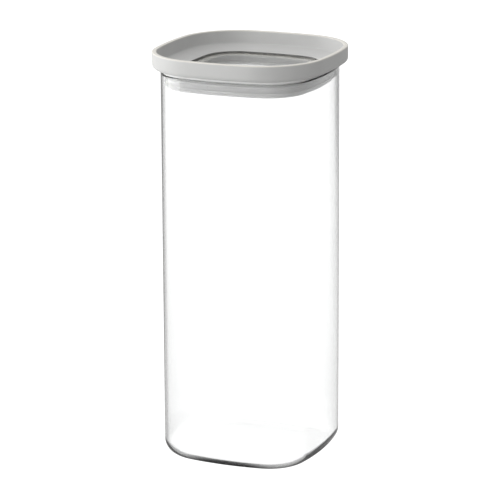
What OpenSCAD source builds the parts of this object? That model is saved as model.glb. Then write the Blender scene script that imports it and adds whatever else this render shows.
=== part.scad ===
// Tall storage canister: a square glass jar with softly bowed sides and a push-in lid.
// The lid is a moulded frame round a clear window, with a plug ring below that carries a soft seal.
// Millimetres. +Z is up, the jar stands on z = 0 and its upright centre line is the Z axis.

/* [Jar] */
// Width of the glass jar, between the middles of two opposite sides
jar_w = 100; // [90:1:140]
// Height of the whole canister with its lid on
total_h = 255; // [110:1:320]
// Radius of the jar's upright corners, seen from above
jar_corner_r = 28; // [24:1:34]
// Radius of the outward bow of the jar's sides, seen from above
jar_bow_r = 158; // [130:1:300]
// Thickness of the glass wall
glass_t = 1.6; // [1.2:0.1:2.6]
// Thickness of the glass floor over the ring that it stands on
floor_t = 2.2; // [2:0.1:4]
// Outer radius where the wall turns under to the base
heel_r = 9; // [5:0.5:11]
// Inner radius between the wall and the floor
floor_r = 7.5; // [4:0.5:9]
// Height of the push-up under the middle of the base
push_up = 0.5; // [0.2:0.1:1.5]

/* [Lid frame] */
// How far the lid stands out past the jar on each side
overhang = 5.6; // [5:0.1:8]
// Radius of the lid's upright corners, seen from above
lid_corner_r = 38; // [34:1:44]
// Radius of the outward bow of the lid's sides, seen from above
lid_bow_r = 200; // [160:1:300]
// Height of the lid's outer wall
frame_h = 10.3; // [10.3:0.1:13]
// Radius of the rounded lower edge of the outer wall
frame_r = 3; // [1:0.5:5]
// Thickness of the upstanding lip at its top
lip_t = 2.8; // [2:0.1:3.4]
// Depth of the stacking recess below the lip
recess_depth = 7.7; // [5:0.1:8.2]
// Width of the sloping shelf between the recess wall and the window
shelf_w = 11.8; // [11:0.1:14]

/* [Window] */
// Thickness of the clear window panel
window_t = 1.4; // [1.2:0.1:2.2]

/* [Plug and seal] */
// How far the plug ring and its seal reach down below the lid frame
plug_h = 10.7; // [9:0.1:14]
// Gap between the glass and the soft fins of the seal
fin_gap = 0.3; // [0.3:0.05:0.6]
// Number of soft fins round the seal
fin_count = 2; // [1:1:2]

/* [Hidden] */
$fn = 180;
fillet_steps = 5;                        // flats in a fillet of the jar and the lid frame
fine_steps = 2;                          // flats in a fillet of the plug ring
corner_steps = 14;                       // flats round a corner of a ring
side_steps = 4;                          // flats along a side of a ring
seam = 0.01;                             // degrees by which the stretches of the window overlap

// A plan outline is [half width at the middle of a side, corner radius, bow radius].
jar_plan = [jar_w / 2, jar_corner_r, jar_bow_r];
lid_plan = [jar_w / 2 + overhang, lid_corner_r, lid_bow_r];

// Heights, from the top down
frame_z = total_h - frame_h;             // flat underside of the frame, which the seal presses on
shelf_top_z = total_h - recess_depth;    // outer end of the sloping shelf
shelf_low_z = frame_z + 0.3;             // inner end of the sloping shelf
window_z = frame_z - 1;                  // top face of the window, under the shelf's edge
web_z = window_z - window_t;             // underside of the window, on top of the plug ring
plug_z = frame_z - plug_h;               // lowest edge of the plug, under the seal's foot
foot_t = 2;                              // height of the seal's foot under the skirt
skirt_z = plug_z + foot_t;               // lower edge of the skirt
seal_t = 2;                              // thickness of the seal's flange
rim_gap = 0.2;                           // resting gap between the flange and the glass rim
rim_z = frame_z - seal_t - rim_gap;      // top of the glass rim

// Inward distances from the outside of the lid
recess_in = 5.2;                         // foot of the recess wall
shelf_in = recess_in + shelf_w;          // top of the shelf's inner edge
opening_in = shelf_in + 1.6;             // edge of the clear opening
skirt_in = overhang + 4.6;               // outside of the plug ring's skirt
skirt_t = 1.6;                           // thickness of the skirt
ledge_in = skirt_in + 3.1;               // inside of the raised ledge round the window
window_in = ledge_in + 0.2;              // outside of the window panel
web_edge_in = opening_in + 4.9;          // inner edge of the web that carries the window
web_t = 1.6;                             // thickness of the web

// Inward distances from the outside of the jar
stand_in = heel_r + 4;                   // inner side of the ring that the jar stands on
dome_in = stand_in + 12;                 // edge of the pushed-up middle
sleeve_in = glass_t + 1.6;               // outside of the seal's sleeve
fin_in = glass_t + fin_gap;              // tips of the fins
fin_pitch = 3.6;                         // distance between fins
fin_root = 1.5;                          // height of a fin where it leaves the sleeve
fin_tip = 0.5;                           // height of a fin at its tip

function unit(v) = v / norm(v);

function direction(angle) = [cos(angle), sin(angle)];

// Centres of the corner arcs lie at (+-c, +-c); an inward offset keeps every centre.
function corner_centre(plan) =
    let (k = plan[2] - plan[0], d = plan[2] - plan[1])
    (-k + sqrt(k * k - 2 * (k * k - d * d))) / 2;

// Half the angle that a bowed side covers, seen from its own far-off centre
function side_angle(plan) =
    let (c = corner_centre(plan))
    atan2(c, c + plan[2] - plan[0]);

// Points of a fillet of radius r at corner b of the outline a, b, c
function fillet(a, b, c, r, steps) =
    let (
        u = unit(a - b),
        v = unit(c - b),
        half = acos(u * v) / 2,
        centre = b + unit(u + v) * r / sin(half),
        p = b + u * r / tan(half) - centre,
        q = b + v * r / tan(half) - centre,
        start = atan2(p[1], p[0]),
        turn = atan2(q[1], q[0]) - start,
        sweep = turn > 180 ? turn - 360 : turn < -180 ? turn + 360 : turn
    )
    [for (i = [0:steps]) centre + r * direction(start + sweep * i / steps)];

// Outline from corners [inset, z, fillet radius]
function rounded(corners, steps = fillet_steps) =
    let (n = len(corners), flat = [for (p = corners) [p[0], p[1]]])
    [for (i = [0:n - 1])
        each corners[i][2] > 0
            ? fillet(flat[(i + n - 1) % n], flat[i], flat[(i + 1) % n], corners[i][2], steps)
            : [flat[i]]];

// Points round one quarter of a plan, a given distance inside it: a bowed side, then a corner
function quarter_outline(plan, inset) =
    let (c = corner_centre(plan), t = side_angle(plan), k = plan[2] - plan[0])
    [
        each [for (i = [0:side_steps - 1])
            [-k, 0] + (plan[2] - inset) * direction(-t + 2 * t * i / side_steps)],
        each [for (i = [0:corner_steps - 1])
            [c, c] + (plan[1] - inset) * direction(t + (90 - 2 * t) * i / corner_steps)]
    ];

// The whole outline at height z, by turning the quarter
function outline(plan, inset, z) =
    [for (turn = [0:90:270], p = quarter_outline(plan, inset))
        [p[0] * cos(turn) - p[1] * sin(turn), p[0] * sin(turn) + p[1] * cos(turn), z]];

// Section points [inset, z] marked with the plan that each one follows
function along(plan, section) = [for (p = section) [plan, p[0], p[1]]];

// Skin through section points [plan, inset, z], which run up the outside and down the inside.
// It closes on itself as a ring, or, capped, it ends in two flat plates, as a jar does.
module skin(section, capped = false) {
    rows = len(section);
    columns = 4 * (side_steps + corner_steps);
    points = [for (p = section) each outline(p[0], p[1], p[2])];
    function at(row, column) = (row % rows) * columns + column % columns;
    walls = [for (r = [0:rows - (capped ? 2 : 1)], i = [0:columns - 1])
        each [
            [at(r, i), at(r + 1, i + 1), at(r, i + 1)],
            [at(r, i), at(r + 1, i), at(r + 1, i + 1)]
        ]];
    plates = capped
        ? [[for (i = [0:columns - 1]) at(0, i)], [for (i = [0:columns - 1]) at(rows - 1, columns - 1 - i)]]
        : [];
    polyhedron(points, concat(walls, plates));
}

// Solid plate whose edge lies a given distance inside a plan
module slab(plan, inset, z_low, z_high) {
    c = corner_centre(plan);
    t = side_angle(plan);
    k = plan[2] - plan[0];
    overlap = 0.5;
    for (quarter = [0:3])
        rotate([0, 0, 90 * quarter]) {
            translate([c, c, z_low])
                rotate([0, 0, t])
                rotate_extrude(angle = 90 - 2 * t)
                square([plan[1] - inset, z_high - z_low]);
            translate([-k, 0, z_low])
                rotate([0, 0, -t - seam])
                rotate_extrude(angle = 2 * (t + seam))
                translate([c + k - overlap, 0])
                square([plan[2] - inset - c - k + overlap, z_high - z_low]);
        }
    translate([-c, -c, z_low])
        cube([2 * c, 2 * c, z_high - z_low]);
}

// Pressed glass jar, open at the top, with a rounded rim and a slight push-up under its base
module glass_jar() {
    rim_r = glass_t * 0.49;
    color([0.86, 0.93, 0.92, 0.35])
        skin(along(jar_plan, rounded([
            [dome_in, push_up, 0],
            [stand_in, 0, 0],
            [0, 0, heel_r],
            [0, rim_z, rim_r],
            [glass_t, rim_z, rim_r],
            [glass_t, floor_t, floor_r],
            [dome_in, floor_t, 0]
        ])), capped = true);
}

// Moulded ring with an upstanding lip, a stacking recess and a sloping shelf round the window.
// A narrow groove under the shelf leaves a shadow line round the window.
module lid_frame() {
    lip_r = 0.6;
    groove_h = 0.7;
    groove_w = 2.2;
    color([0.72, 0.72, 0.71])
        skin(along(lid_plan, rounded([
            [0, frame_z, frame_r],
            [0, total_h, lip_r],
            [lip_t, total_h, lip_r],
            [recess_in, shelf_top_z, 1.5],
            [shelf_in, shelf_low_z, 0.5],
            [opening_in, window_z + groove_h, 0],
            [opening_in - groove_w, window_z + groove_h, 0],
            [opening_in - groove_w, window_z, 0],
            [skirt_in, window_z, 0],
            [skirt_in, frame_z, 0]
        ])));
}

// Clear panel that closes the middle of the lid, held between frame and plug ring
module lid_window() {
    color([0.9, 0.95, 0.95, 0.4])
        slab(lid_plan, window_in, web_z, window_z);
}

// Angle-shaped ring under the lid: its skirt enters the jar and its web carries the window
module plug_ring() {
    edge_r = 0.4;
    color([0.68, 0.68, 0.67])
        skin(along(lid_plan, rounded([
            [skirt_in, skirt_z, edge_r],
            [skirt_in, window_z, 0],
            [ledge_in, window_z, 0],
            [ledge_in, web_z, 0],
            [web_edge_in, web_z, edge_r],
            [web_edge_in, web_z - web_t, edge_r],
            [skirt_in + skirt_t, web_z - web_t, 2 * edge_r],
            [skirt_in + skirt_t, skirt_z, edge_r]
        ], fine_steps)));
}

// Outline of one fin from the sleeve out to its thin upturned tip, z being its lower root
function fin(z) = [
    [sleeve_in, z],
    [fin_in, z + fin_root - fin_tip / 2],
    [fin_in, z + fin_root + fin_tip / 2],
    [sleeve_in, z + fin_root]
];

// Soft seal: a flange that lies on the glass rim, a sleeve round the plug with fins that wipe the glass,
// and a foot that hooks under the skirt
module seal_ring() {
    fit_gap = 0.05;
    first_fin_z = plug_z + 1.5;
    outside = [
        [sleeve_in + 0.5, plug_z],
        [sleeve_in, plug_z + 0.5],
        each [for (i = [0:fin_count - 1]) each fin(first_fin_z + i * fin_pitch)],
        [sleeve_in, frame_z - seal_t],
        [1.6, frame_z - seal_t],
        [1, frame_z - seal_t + 0.6],
        [1, frame_z]
    ];
    inside = [
        [skirt_in - fit_gap, frame_z],
        [skirt_in - fit_gap, skirt_z - fit_gap],
        [skirt_in + skirt_t, skirt_z - fit_gap],
        [skirt_in + skirt_t, plug_z + 0.4],
        [skirt_in + skirt_t - 0.4, plug_z]
    ];
    color([0.93, 0.93, 0.92])
        skin(concat(along(jar_plan, outside), along(lid_plan, inside)));
}

glass_jar();
lid_frame();
lid_window();
plug_ring();
seal_ring();
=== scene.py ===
"""Looks of a lidded glass canister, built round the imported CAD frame, in metres."""

import math
import bpy
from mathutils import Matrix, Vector


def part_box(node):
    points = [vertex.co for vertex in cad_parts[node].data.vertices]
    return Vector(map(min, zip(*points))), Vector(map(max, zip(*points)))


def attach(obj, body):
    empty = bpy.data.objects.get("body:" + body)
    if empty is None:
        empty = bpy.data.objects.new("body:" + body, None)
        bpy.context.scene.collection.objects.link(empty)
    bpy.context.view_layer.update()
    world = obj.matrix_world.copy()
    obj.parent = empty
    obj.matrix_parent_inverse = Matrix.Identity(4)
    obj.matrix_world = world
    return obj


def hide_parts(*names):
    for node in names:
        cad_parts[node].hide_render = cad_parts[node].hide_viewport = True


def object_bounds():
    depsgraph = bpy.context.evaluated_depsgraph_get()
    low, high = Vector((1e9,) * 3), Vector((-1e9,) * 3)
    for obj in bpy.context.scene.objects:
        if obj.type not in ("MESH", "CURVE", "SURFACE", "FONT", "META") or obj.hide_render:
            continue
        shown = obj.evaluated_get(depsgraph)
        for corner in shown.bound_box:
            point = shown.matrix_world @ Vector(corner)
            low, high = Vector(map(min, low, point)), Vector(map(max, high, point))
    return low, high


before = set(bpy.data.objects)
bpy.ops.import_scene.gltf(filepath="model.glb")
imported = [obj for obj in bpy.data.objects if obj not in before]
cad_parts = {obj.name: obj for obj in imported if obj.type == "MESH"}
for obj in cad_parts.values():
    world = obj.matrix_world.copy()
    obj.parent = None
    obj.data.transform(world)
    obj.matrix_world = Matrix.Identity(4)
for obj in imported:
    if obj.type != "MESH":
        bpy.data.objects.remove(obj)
cad_low, cad_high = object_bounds()

MM = 0.001

# ---------------------------------------------------------------- places read from the frame
jar_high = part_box("glass_jar")[1]
lid_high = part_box("lid_frame")[1]
window_low, window_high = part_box("lid_window")
plug_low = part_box("plug_ring")[0]
seal_low, seal_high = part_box("seal_ring")

TOP_Z = lid_high.z           # top of the lip
RIM_Z = jar_high.z           # glass rim
WINDOW_Z = window_high.z     # top of the window
WEB_Z = window_low.z         # top of the web that carries the window
PLUG_Z = plug_low.z          # underside of the plug's skirt
FRAME_Z = seal_high.z        # underside of the frame
SEAL_Z = seal_low.z          # underside of the seal's foot

# ---------------------------------------------------------------- plan outlines
# A plan is a square with bowed sides: (half width, corner radius, bow radius).
JAR_PLAN = (jar_high.x, 28 * MM, 158 * MM)
LID_PLAN = (lid_high.x, 38 * MM, 200 * MM)
CORNER_STEPS = 26
SIDE_STEPS = 20
PLATE_RINGS = 8
SHARP_ANGLE = 38    # degrees above which an edge is shaded sharp

# Jar and seal: a name that ends in _IN is an inset from the outside of the jar
GLASS_T = 1.6 * MM
RIM_R = 0.49 * GLASS_T
FLOOR_T = 2.2 * MM
HEEL_R = 9 * MM
FLOOR_R = 7.5 * MM
STAND_IN = 13 * MM
PUSH_UP = 0.5 * MM
SLEEVE_IN = GLASS_T + 1.6 * MM
SLEEVE_EDGE = 0.5 * MM      # broken edge at the sleeve's foot
FIN_IN = GLASS_T + 0.3 * MM
FIN_COUNT = 2
FIRST_FIN = 1.5 * MM
FIN_PITCH = 3.6 * MM
FIN_ROOT = 1.5 * MM
FIN_TIP = 0.5 * MM
FIN_DROOP = 0.35 * MM       # how far a fin's underside has risen at half its reach
FIN_CROWN = 0.05 * MM       # how far its top has risen there
FLANGE_T = 2 * MM
FLANGE_IN = 1 * MM
FLANGE_EDGE = 0.6 * MM      # round lower edge of the flange
FLANGE_BEVEL = 0.17 * MM    # what that edge takes off at its middle
FOOT_EDGE = 0.4 * MM        # broken inner edge of the foot

# Joint line of the seal
LINE_X = -8 * MM
LINE_PROUD = 0.14 * MM
LINE_DEPTH = 0.6 * MM
LINE_WIDTH = 0.5 * MM

# Lid: a name that ends in _IN is an inset from the outside of the lid
LIP_T = 2.8 * MM
LIP_R = 0.6 * MM
FRAME_R = 3 * MM
RECESS_IN = 5.2 * MM
RECESS_DEPTH = 7.7 * MM
RECESS_R = 1.5 * MM
SHELF_IN = 17 * MM
SHELF_R = 0.5 * MM
SHELF_RISE = 0.3 * MM       # shelf's inner end above the frame's underside
OPENING_IN = 18.6 * MM
OPENING_R = 0.2 * MM
GROOVE_H = 0.7 * MM
GROOVE_W = 2.2 * MM
WINDOW_IN = lid_high.x - window_high.x
WINDOW_R = 0.3 * MM
WINDOW_RIM = 6 * MM         # flat border from which the window's middle is filled
SKIRT_IN = 10.2 * MM
SKIRT_T = 1.6 * MM
LEDGE_IN = 13.3 * MM
WEB_EDGE_IN = 23.5 * MM
WEB_T = 1.6 * MM
PLUG_EDGE_R = 0.4 * MM
SEAT_GAP = 0.04 * MM        # keeps two touching faces apart


def corner_centre(plan):
    """Distance of the corner arcs' centres from both axes. An inward offset keeps every centre."""
    half, corner_r, bow_r = plan
    k, d = bow_r - half, bow_r - corner_r
    return (-k + math.sqrt(k * k - 2 * (k * k - d * d))) / 2


def outline(plan, inset):
    """Points round a plan at an inset, bowed side then corner, four times, anticlockwise."""
    half, corner_r, bow_r = plan
    c, k = corner_centre(plan), bow_r - half
    t = math.atan2(c, c + k)
    quarter = []
    for i in range(SIDE_STEPS):
        a = -t + 2 * t * i / SIDE_STEPS
        quarter.append((-k + (bow_r - inset) * math.cos(a), (bow_r - inset) * math.sin(a)))
    for i in range(CORNER_STEPS):
        a = t + (math.pi / 2 - 2 * t) * i / CORNER_STEPS
        quarter.append((c + (corner_r - inset) * math.cos(a), c + (corner_r - inset) * math.sin(a)))
    points = []
    for turn in range(4):
        cos, sin = round(math.cos(turn * math.pi / 2)), round(math.sin(turn * math.pi / 2))
        points += [(x * cos - y * sin, x * sin + y * cos) for x, y in quarter]
    return points


def fillet(before, corner, after, radius, steps):
    """Points of an arc of that radius that rounds a section's corner."""
    u, v = (before - corner).normalized(), (after - corner).normalized()
    half = math.acos(max(-1, min(1, u.dot(v)))) / 2
    centre = corner + (u + v).normalized() * (radius / math.sin(half))
    p = corner + u * (radius / math.tan(half)) - centre
    q = corner + v * (radius / math.tan(half)) - centre
    start = math.atan2(p.y, p.x)
    turn = (math.atan2(q.y, q.x) - start + math.pi) % (2 * math.pi) - math.pi
    arc = [start + turn * i / steps for i in range(steps + 1)]
    return [(centre.x + radius * math.cos(a), centre.y + radius * math.sin(a)) for a in arc]


def rounded(corners, steps=8):
    """A section from corners (inset, z, fillet radius)."""
    flat = [Vector((c[0], c[1])) for c in corners]
    points = []
    for i, (s, z, radius) in enumerate(corners):
        if radius > 0:
            points += fillet(flat[i - 1], flat[i], flat[(i + 1) % len(flat)], radius, steps)
        else:
            points.append((s, z))
    return points


def skin(name, rows, domes=None):
    """Closed mesh through rows of (plan, inset, z), up the outside and down the inside.

    It closes on itself as a ring, or, with domes, it starts and ends in two plates. Each plate closes
    towards its middle in shrinking rings and rises by its dome.
    """
    verts, faces = [], []
    for plan, inset, z in rows:
        verts += [(x, y, z) for x, y in outline(plan, inset)]
    n, m = len(outline(rows[0][0], 0)), len(rows)
    for r in range(m - 1 if domes else m):
        for i in range(n):
            a, b = r * n + i, r * n + (i + 1) % n
            c, d = ((r + 1) % m) * n + (i + 1) % n, ((r + 1) % m) * n + i
            faces.append((a, b, c, d))
    if domes:
        for row, dome, flip in ((0, domes[0], True), (m - 1, domes[1], False)):
            ring = list(range(row * n, row * n + n))
            z = rows[row][2]
            for step in [1 - i / PLATE_RINGS for i in range(1, PLATE_RINGS)]:
                base = len(verts)
                for j in range(n):
                    x, y, _ = verts[row * n + j]
                    verts.append((x * step, y * step, z + dome * (1 - step * step)))
                new = list(range(base, base + n))
                for i in range(n):
                    quad = (ring[i], ring[(i + 1) % n], new[(i + 1) % n], new[i])
                    faces.append(quad[::-1] if flip else quad)
                ring = new
            verts.append((0, 0, z + dome))
            for i in range(n):
                tri = (ring[i], ring[(i + 1) % n], len(verts) - 1)
                faces.append(tri[::-1] if flip else tri)
    mesh = bpy.data.meshes.new(name)
    mesh.from_pydata(verts, [], faces)
    mesh.validate()
    mesh.update()
    mesh.shade_smooth()
    mesh.set_sharp_from_angle(angle=math.radians(SHARP_ANGLE))
    piece = bpy.data.objects.new(name, mesh)
    bpy.context.scene.collection.objects.link(piece)
    return piece


def along(plan, section):
    """Rows for skin: one plan, with each point of a section."""
    return [(plan, s, z) for s, z in section]


# ---------------------------------------------------------------- materials
# Noise scales are in cycles a metre, and bump distances in metres.
GREY_TONE = (0.415, 0.415, 0.409)
SILICONE_TONE = (0.95, 0.95, 0.94)
GLASS_TINT = (0.997, 1.0, 0.999)
PANEL_TINT = (0.99, 0.993, 0.993)
GLASS_IOR = 1.47
PLASTIC_IOR = 1.49
SILICONE_IOR = 1.41
PAINTED_HIGHLIGHT_FADE = (0.7 * MM, 0.25 * MM)     # depths below the top edge where its painted highlight starts and is full
PAINTED_HIGHLIGHT_WARMTH = (1.0, 0.975, 0.92)      # what makes the painted highlight creamier
SEAL_SCATTER = 2.5 * MM               # how far light spreads inside the silicone


def new_material(name):
    material = bpy.data.materials.new(name)
    material.use_nodes = True
    nodes = material.node_tree.nodes
    shader = next(n for n in nodes if n.type == "BSDF_PRINCIPLED")
    return material, nodes, material.node_tree.links, shader


def noise(nodes, links, scale, detail=2.0, roughness=0.5):
    """Noise over the piece's own coordinates."""
    place = nodes.new("ShaderNodeTexCoord")
    texture = nodes.new("ShaderNodeTexNoise")
    texture.inputs["Scale"].default_value = scale
    texture.inputs["Detail"].default_value = detail
    texture.inputs["Roughness"].default_value = roughness
    links.new(place.outputs["Object"], texture.inputs["Vector"])
    return texture


def ramp(nodes, links, source, low, high, start=0.3, end=0.7):
    """A colour ramp between two colours or grey values."""
    node = nodes.new("ShaderNodeValToRGB")
    for element, place, value in zip(node.color_ramp.elements, (start, end), (low, high)):
        element.position = place
        element.color = (*value, 1) if isinstance(value, tuple) else (value, value, value, 1)
    links.new(source, node.inputs["Fac"])
    return node.outputs["Color"]


def bump(nodes, links, shader, height, strength, distance):
    node = nodes.new("ShaderNodeBump")
    node.inputs["Strength"].default_value = strength
    node.inputs["Distance"].default_value = distance
    links.new(height, node.inputs["Height"])
    links.new(node.outputs["Normal"], shader.inputs["Normal"])


def clear_material(name, tint, ior, gloss, wave_height, wave_scale, roughness):
    """Clear glass or plastic with the faint waviness of a moulded surface."""
    material, nodes, links, shader = new_material(name)
    shader.inputs["Transmission Weight"].default_value = 1
    shader.inputs["IOR"].default_value = ior
    shader.inputs["Specular IOR Level"].default_value = gloss
    mottle = noise(nodes, links, scale=14, detail=3)
    edge_tint = tuple(0.985 * t for t in tint)
    links.new(ramp(nodes, links, mottle.outputs["Fac"], edge_tint, tint), shader.inputs["Base Color"])
    links.new(ramp(nodes, links, mottle.outputs["Fac"], 0.0, roughness), shader.inputs["Roughness"])
    wave = noise(nodes, links, wave_scale, detail=1)
    bump(nodes, links, shader, wave.outputs["Fac"], strength=0.25, distance=wave_height)
    return material


def moulded_plastic(name, colour, painted_highlight_z, painted_highlight_gain):
    """Matte moulded plastic: fine spark-eroded grain, faint mottling and a painted highlight that makes
    the top edge paler and creamier.
    """
    material, nodes, links, shader = new_material(name)
    shader.inputs["Specular IOR Level"].default_value = 0.35
    shader.inputs["IOR"].default_value = PLASTIC_IOR
    mottle = noise(nodes, links, scale=55, detail=4, roughness=0.6)
    dark = tuple(0.975 * c for c in colour)
    light = tuple(1.025 * c for c in colour)
    body = ramp(nodes, links, mottle.outputs["Fac"], dark, light)
    height = nodes.new("ShaderNodeSeparateXYZ")
    links.new(nodes.new("ShaderNodeTexCoord").outputs["Object"], height.inputs[0])
    # Painted highlight: the colour turns paler and creamier just below the top edge, where light
    # catches it.
    edge = nodes.new("ShaderNodeMapRange")
    edge.inputs["From Min"].default_value = painted_highlight_z - PAINTED_HIGHLIGHT_FADE[0]
    edge.inputs["From Max"].default_value = painted_highlight_z - PAINTED_HIGHLIGHT_FADE[1]
    links.new(height.outputs["Z"], edge.inputs["Value"])
    mix = nodes.new("ShaderNodeMix")
    mix.data_type = "RGBA"
    pale = [painted_highlight_gain * c * w for c, w in zip(colour, PAINTED_HIGHLIGHT_WARMTH)]
    mix.inputs["B"].default_value = (*pale, 1)
    links.new(edge.outputs["Result"], mix.inputs["Factor"])
    links.new(body, mix.inputs["A"])
    links.new(mix.outputs["Result"], shader.inputs["Base Color"])
    grain = noise(nodes, links, scale=2400, detail=3, roughness=0.6)
    links.new(ramp(nodes, links, grain.outputs["Fac"], 0.5, 0.62), shader.inputs["Roughness"])
    bump(nodes, links, shader, grain.outputs["Fac"], strength=0.28, distance=0.09 * MM)
    return material


def silicone(name, colour):
    """Milky translucent silicone, soft and a little uneven."""
    material, nodes, links, shader = new_material(name)
    shader.inputs["IOR"].default_value = SILICONE_IOR
    shader.inputs["Subsurface Weight"].default_value = 0.45
    shader.inputs["Subsurface Radius"].default_value = (1.0, 1.0, 0.95)
    shader.inputs["Subsurface Scale"].default_value = SEAL_SCATTER
    shader.inputs["Transmission Weight"].default_value = 0.15
    cloud = noise(nodes, links, scale=120, detail=3)
    dark = tuple(0.95 * c for c in colour)
    links.new(ramp(nodes, links, cloud.outputs["Fac"], dark, colour), shader.inputs["Base Color"])
    links.new(ramp(nodes, links, cloud.outputs["Fac"], 0.34, 0.46), shader.inputs["Roughness"])
    texture = noise(nodes, links, scale=900)
    bump(nodes, links, shader, texture.outputs["Fac"], strength=0.15, distance=0.06 * MM)
    return material


GLASS = clear_material(
    "clear_glass", GLASS_TINT, GLASS_IOR,
    gloss=0.5, wave_height=0.2 * MM, wave_scale=9, roughness=0.004,
)
WINDOW = clear_material(
    "clear_plastic", PANEL_TINT, PLASTIC_IOR,
    gloss=0.2, wave_height=0.03 * MM, wave_scale=20, roughness=0.006,
)
# The lip's top edge carries a painted highlight.
GREY = moulded_plastic("light_grey_plastic", GREY_TONE, painted_highlight_z=TOP_Z, painted_highlight_gain=1.35)
# Copy of the grey whose web top carries a strong painted highlight, standing in for the light its
# rounded edge catches.
PLUG_GREY_PAINTED_HIGHLIGHT = moulded_plastic(
    "plug_grey_painted_highlight", GREY_TONE, painted_highlight_z=WEB_Z + PAINTED_HIGHLIGHT_FADE[1], painted_highlight_gain=1.7,
)
SEAL = silicone("milky_silicone", SILICONE_TONE)


# ---------------------------------------------------------------- pieces
def place(piece, body, node, slot, material):
    piece.data.materials.append(material)
    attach(piece, body)
    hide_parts(node)


def make_jar():
    """Blown and pressed jar: rounded heel, push-up base, even wall and a fire-polished rim."""
    section = rounded([
        (STAND_IN, 0, 0),
        (0, 0, HEEL_R),
        (0, RIM_Z, RIM_R),
        (GLASS_T, RIM_Z, RIM_R),
        (GLASS_T, FLOOR_T, FLOOR_R),
        (STAND_IN, FLOOR_T, 0),
    ], steps=12)
    return skin("jar_glass", along(JAR_PLAN, section), domes=(PUSH_UP, PUSH_UP / 2))


def make_frame():
    """Lid frame: rounded outer wall and lip, steep recess wall, sloping shelf and soft inner edge."""
    section = rounded([
        (0, FRAME_Z, FRAME_R),
        (0, TOP_Z, LIP_R),
        (LIP_T, TOP_Z, LIP_R),
        (RECESS_IN, TOP_Z - RECESS_DEPTH, RECESS_R),
        (SHELF_IN, FRAME_Z + SHELF_RISE, SHELF_R),
        (OPENING_IN, WINDOW_Z + GROOVE_H, OPENING_R),
        (OPENING_IN - GROOVE_W, WINDOW_Z + GROOVE_H, 0),
        (OPENING_IN - GROOVE_W, WINDOW_Z, 0),
        (SKIRT_IN, WINDOW_Z, 0),
        (SKIRT_IN, FRAME_Z, 0),
    ])
    return skin("frame_ring", along(LID_PLAN, section))


def make_window():
    """Clear panel with softly broken edges."""
    section = rounded([
        (WINDOW_IN + WINDOW_RIM, WEB_Z + SEAT_GAP, 0),
        (WINDOW_IN, WEB_Z + SEAT_GAP, WINDOW_R),
        (WINDOW_IN, WINDOW_Z - SEAT_GAP, WINDOW_R),
        (WINDOW_IN + WINDOW_RIM, WINDOW_Z - SEAT_GAP, 0),
    ], steps=4)
    return skin("window_panel", along(LID_PLAN, section), domes=(0, 0))


def make_plug():
    """Angle-shaped plug ring: a skirt that carries the seal and a web that carries the window."""
    section = rounded([
        (SKIRT_IN, PLUG_Z, PLUG_EDGE_R),
        (SKIRT_IN, WINDOW_Z, 0),
        (LEDGE_IN, WINDOW_Z, 0),
        (LEDGE_IN, WEB_Z, 0),
        (WEB_EDGE_IN, WEB_Z, PLUG_EDGE_R),
        (WEB_EDGE_IN, WEB_Z - WEB_T, PLUG_EDGE_R),
        (SKIRT_IN + SKIRT_T, WEB_Z - WEB_T, 2 * PLUG_EDGE_R),
        (SKIRT_IN + SKIRT_T, PLUG_Z, PLUG_EDGE_R),
    ], steps=6)
    return skin("plug_skirt", along(LID_PLAN, section))


def seal_outside():
    """Outer side of the seal's sleeve, from its foot up past the soft fins to the flange."""
    points = [(SLEEVE_IN + SLEEVE_EDGE, SEAL_Z), (SLEEVE_IN, SEAL_Z + SLEEVE_EDGE)]
    middle = (SLEEVE_IN + FIN_IN) / 2
    for i in range(FIN_COUNT):
        z = SEAL_Z + FIRST_FIN + i * FIN_PITCH
        points += [
            (SLEEVE_IN, z),
            (middle, z + FIN_DROOP),
            (FIN_IN, z + FIN_ROOT - FIN_TIP / 2),
            (FIN_IN, z + FIN_ROOT + FIN_TIP / 2),
            (middle, z + FIN_ROOT + FIN_CROWN),
            (SLEEVE_IN, z + FIN_ROOT),
        ]
    return points + [(SLEEVE_IN, FRAME_Z - FLANGE_T)]


def make_seal():
    """Seal: a flange on the rim, a sleeve with soft fins and a foot that hooks under the skirt."""
    flange = [
        (FLANGE_IN + FLANGE_EDGE, FRAME_Z - FLANGE_T),
        (FLANGE_IN + FLANGE_BEVEL, FRAME_Z - FLANGE_T + FLANGE_BEVEL),
        (FLANGE_IN, FRAME_Z - FLANGE_T + FLANGE_EDGE),
        (FLANGE_IN, FRAME_Z),
    ]
    inside = [
        (SKIRT_IN - SEAT_GAP, FRAME_Z),
        (SKIRT_IN - SEAT_GAP, PLUG_Z - SEAT_GAP),
        (SKIRT_IN + SKIRT_T, PLUG_Z - SEAT_GAP),
        (SKIRT_IN + SKIRT_T, SEAL_Z + FOOT_EDGE),
        (SKIRT_IN + SKIRT_T - FOOT_EDGE, SEAL_Z),
    ]
    return skin("seal_soft", along(JAR_PLAN, seal_outside() + flange) + along(LID_PLAN, inside))


def make_seal_joint():
    """Fine raised joint line across the seal near the middle of one side, left by its mould."""
    half, _, bow_r = JAR_PLAN
    section = (
        (-LINE_WIDTH, LINE_DEPTH),
        (-LINE_WIDTH / 2, -LINE_PROUD),
        (LINE_WIDTH / 2, -LINE_PROUD),
        (LINE_WIDTH, LINE_DEPTH),
    )
    verts, faces = [], []
    for inset, z in seal_outside():
        for across, inward in section:
            x = LINE_X + across
            reach = bow_r - inset - inward
            y = bow_r - half - math.sqrt(reach * reach - x * x)
            verts.append((x, y, z))
    rows = len(verts) // 4
    for r in range(rows - 1):
        for i in range(4):
            j = (i + 1) % 4
            faces.append((4 * r + i, 4 * r + j, 4 * r + 4 + j, 4 * r + 4 + i))
    faces += [(3, 2, 1, 0), tuple(4 * (rows - 1) + i for i in range(4))]
    mesh = bpy.data.meshes.new("seal_joint")
    mesh.from_pydata(verts, [], faces)
    mesh.validate()
    mesh.update()
    piece = bpy.data.objects.new("seal_joint", mesh)
    bpy.context.scene.collection.objects.link(piece)
    return piece


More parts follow.
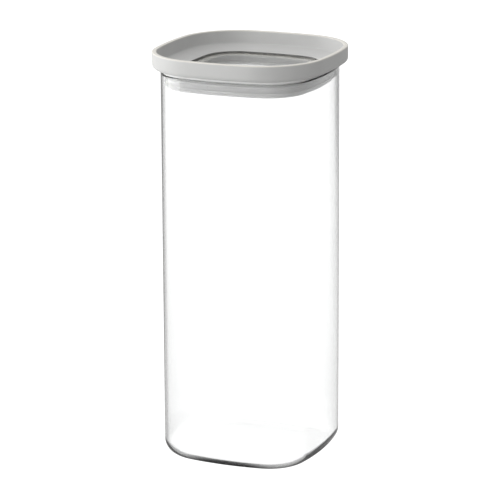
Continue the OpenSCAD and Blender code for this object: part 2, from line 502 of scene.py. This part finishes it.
place(make_jar(), "jar", "glass_jar", "glass", GLASS)
place(make_frame(), "lid", "lid_frame", "lid_grey", GREY)
place(make_window(), "lid", "lid_window", "window_clear", WINDOW)
place(make_plug(), "lid", "plug_ring", "lid_grey", PLUG_GREY_PAINTED_HIGHLIGHT)
place(make_seal(), "lid", "seal_ring", "seal", SEAL)
place(make_seal_joint(), "lid", "seal_ring", "seal", SEAL)


# ---------------------------------------------------------------- stage and light
# The studio is white where it is seen straight or through clear walls. What it mirrors and what it
# sheds on matte surfaces are set apart, so that the clear walls keep thin grey edges.
LIGHT_SIDE = (-0.94, -0.17, 0.3)      # where most of the light comes from
SHED_LEVEL = 1.0                      # mean level of the light on matte surfaces
SHED_SWING = 0.85                     # how much more of it comes from the light side
ROOM_MIRRORED = 1.0                   # level of the room in mirrored rays
FLOOR_MIRRORED = (0.93, 0.08)         # mean and swing of the floor in mirrored rays
FOOT_MIRRORED = 0.01                  # level of the floor close to the jar in mirrored rays: painted shade round the jar's foot
FOOT_RADII = (0.045, 0.053)           # metres from the jar's axis over which that level fades out
FAR_RADIUS = 0.6                      # metres at which the floor is at its full mirrored level
NEAR_PART = 0.6                       # part of that level just outside the dark foot
ROOM_SEEN = 1.0                       # level of the room where it is seen
FLOOR_SEEN = 1.22                     # level of the floor where it is seen
FLOOR_REACH = 6.0                     # metres from the middle of the floor to its sides
FLOOR_GAP = 0.02 * MM                 # how far the floor lies below the jar
PAPER_PART = 0.08                     # how much of the floor is paper that takes a shadow
PAPER_TONE = (0.8, 0.8, 0.8)
SOFTBOX_WIDTH = 0.9
SOFTBOX_HEIGHT = 1.2
SOFTBOX_DISTANCE = 1.2
SOFTBOX_LEVEL = 2.5
SOFTBOX_TARGET = 0.7 * TOP_Z          # height that the soft box is aimed at
CAMERA_AZIMUTH = 22.94                # degrees from -Y towards +X
CAMERA_DISTANCE = 1.703               # metres from the jar's axis
CAMERA_HEIGHT = 0.5826
CAMERA_FIELD = 10.0702                # degrees
CAMERA_ROLL = -0.2807                 # degrees
TARGET_HEIGHT = 0.1272
TARGET_SIDEWAYS = -0.85 * MM


def math_node(nodes, links, operation, first, second):
    """One step of arithmetic between a socket and a socket or number."""
    node = nodes.new("ShaderNodeMath")
    node.operation = operation
    links.new(first, node.inputs[0])
    if isinstance(second, (int, float)):
        node.inputs[1].default_value = second
    else:
        links.new(second, node.inputs[1])
    return node.outputs[0]


def choose(nodes, links, factor, low, high):
    """The value low where factor is 0 and high where it is 1; both may be sockets or numbers."""
    node = nodes.new("ShaderNodeMix")
    for name, value in (("A", low), ("B", high)):
        if isinstance(value, (int, float)):
            node.inputs[name].default_value = value
        else:
            links.new(value, node.inputs[name])
    links.new(factor, node.inputs["Factor"])
    return node.outputs["Result"]


def towards_light(nodes, links, place, middle, swing):
    """A level that rises by swing towards the light side and falls by it on the far side."""
    unit = nodes.new("ShaderNodeVectorMath")
    unit.operation = "NORMALIZE"
    links.new(place, unit.inputs[0])
    dot = nodes.new("ShaderNodeVectorMath")
    dot.operation = "DOT_PRODUCT"
    dot.inputs[1].default_value = LIGHT_SIDE
    links.new(unit.outputs["Vector"], dot.inputs[0])
    scaled = math_node(nodes, links, "MULTIPLY", dot.outputs["Value"], swing)
    return math_node(nodes, links, "ADD", scaled, middle)


def ray_level(nodes, links, seen, mirrored, shed):
    """The level for rays seen straight or through clear walls, mirrored rays, and light on surfaces."""
    path = nodes.new("ShaderNodeLightPath")
    was_mirrored = math_node(nodes, links, "GREATER_THAN", path.outputs["Glossy Depth"], 0.5)
    was_shed = math_node(nodes, links, "GREATER_THAN", path.outputs["Diffuse Depth"], 0.5)
    return choose(nodes, links, was_shed, choose(nodes, links, was_mirrored, seen, mirrored), shed)


def make_world():
    world = bpy.data.worlds.new("studio")
    world.use_nodes = True
    nodes, links = world.node_tree.nodes, world.node_tree.links
    background = next(n for n in nodes if n.type == "BACKGROUND")
    direction = nodes.new("ShaderNodeTexCoord").outputs["Generated"]
    shed = towards_light(nodes, links, direction, SHED_LEVEL, SHED_SWING)
    level = ray_level(nodes, links, ROOM_SEEN, ROOM_MIRRORED, shed)
    links.new(level, background.inputs["Strength"])
    background.inputs["Color"].default_value = (1, 1, 1, 1)
    bpy.context.scene.world = world


def make_floor():
    """Pale floor, bright as a light table, with a faint soft shadow and, in mirrored rays only, a
    painted dark ring of shade round the jar's foot.
    """
    material = bpy.data.materials.new("pale_floor")
    material.use_nodes = True
    nodes, links = material.node_tree.nodes, material.node_tree.links
    nodes.clear()
    spot = nodes.new("ShaderNodeTexCoord").outputs["Object"]
    shed = towards_light(nodes, links, spot, SHED_LEVEL, SHED_SWING)
    middle, swing = FLOOR_MIRRORED
    far_level = towards_light(nodes, links, spot, middle, -swing)
    radius = nodes.new("ShaderNodeVectorMath")
    radius.operation = "LENGTH"
    links.new(spot, radius.inputs[0])
    # Painted shade: close round the jar's foot the floor goes dark in mirrored rays only.
    away = nodes.new("ShaderNodeMapRange")
    away.inputs["From Min"].default_value = FOOT_RADII[0]
    away.inputs["From Max"].default_value = FOOT_RADII[1]
    links.new(radius.outputs["Value"], away.inputs["Value"])
    spread = nodes.new("ShaderNodeMapRange")
    spread.inputs["From Min"].default_value = FOOT_RADII[1]
    spread.inputs["From Max"].default_value = FAR_RADIUS
    spread.inputs["To Min"].default_value = NEAR_PART
    links.new(radius.outputs["Value"], spread.inputs["Value"])
    faded = math_node(nodes, links, "MULTIPLY", far_level, spread.outputs["Result"])
    mirrored = choose(nodes, links, away.outputs["Result"], FOOT_MIRRORED, faded)
    glow = nodes.new("ShaderNodeEmission")
    links.new(ray_level(nodes, links, FLOOR_SEEN, mirrored, shed), glow.inputs["Strength"])
    paper = nodes.new("ShaderNodeBsdfDiffuse")
    paper.inputs["Color"].default_value = (*PAPER_TONE, 1)
    mix = nodes.new("ShaderNodeMixShader")
    mix.inputs["Fac"].default_value = PAPER_PART
    links.new(glow.outputs[0], mix.inputs[1])
    links.new(paper.outputs[0], mix.inputs[2])
    out = nodes.new("ShaderNodeOutputMaterial")
    links.new(mix.outputs[0], out.inputs["Surface"])
    floor_z = cad_low.z - FLOOR_GAP
    mesh = bpy.data.meshes.new("floor")
    corners = [(FLOOR_REACH * x, FLOOR_REACH * y) for x, y in ((-1, -1), (1, -1), (1, 1), (-1, 1))]
    mesh.from_pydata([(x, y, floor_z) for x, y in corners], [], [(0, 1, 2, 3)])
    mesh.materials.append(material)
    floor = bpy.data.objects.new("floor", mesh)
    bpy.context.scene.collection.objects.link(floor)


def softbox(name, azimuth, elevation):
    """Soft box of light aimed at the canister. Azimuth is turned from -Y towards +X, in degrees."""
    data = bpy.data.lights.new(name, "AREA")
    data.shape = "RECTANGLE"
    data.size = SOFTBOX_WIDTH
    data.size_y = SOFTBOX_HEIGHT
    data.energy = SOFTBOX_LEVEL * math.pi * SOFTBOX_WIDTH * SOFTBOX_HEIGHT
    lamp = bpy.data.objects.new(name, data)
    a, e = math.radians(azimuth), math.radians(elevation)
    target = Vector((0, 0, SOFTBOX_TARGET))
    offset = Vector((math.sin(a) * math.cos(e), -math.cos(a) * math.cos(e), math.sin(e)))
    lamp.location = target + offset * SOFTBOX_DISTANCE
    lamp.rotation_mode = "QUATERNION"
    lamp.rotation_quaternion = offset.to_track_quat("Z", "Y")
    bpy.context.scene.collection.objects.link(lamp)


def make_camera():
    """Long lens a little above the lid, turned so that one corner comes forward on the right."""
    azimuth = math.radians(CAMERA_AZIMUTH)
    away = Vector((math.sin(azimuth), -math.cos(azimuth), 0))
    sideways = Vector((math.cos(azimuth), math.sin(azimuth), 0))
    data = bpy.data.cameras.new("camera")
    data.angle = math.radians(CAMERA_FIELD)
    camera = bpy.data.objects.new("camera", data)
    camera.location = away * CAMERA_DISTANCE + Vector((0, 0, CAMERA_HEIGHT))
    target = sideways * TARGET_SIDEWAYS + Vector((0, 0, TARGET_HEIGHT))
    turned = (camera.location - target).to_track_quat("Z", "Y").to_euler()
    turned.rotate_axis("Z", math.radians(CAMERA_ROLL))
    camera.rotation_euler = turned
    bpy.context.scene.collection.objects.link(camera)
    bpy.context.scene.camera = camera


make_world()
make_floor()
softbox("key", azimuth=-66, elevation=12)
make_camera()
bpy.context.scene.view_settings.view_transform = "Standard"
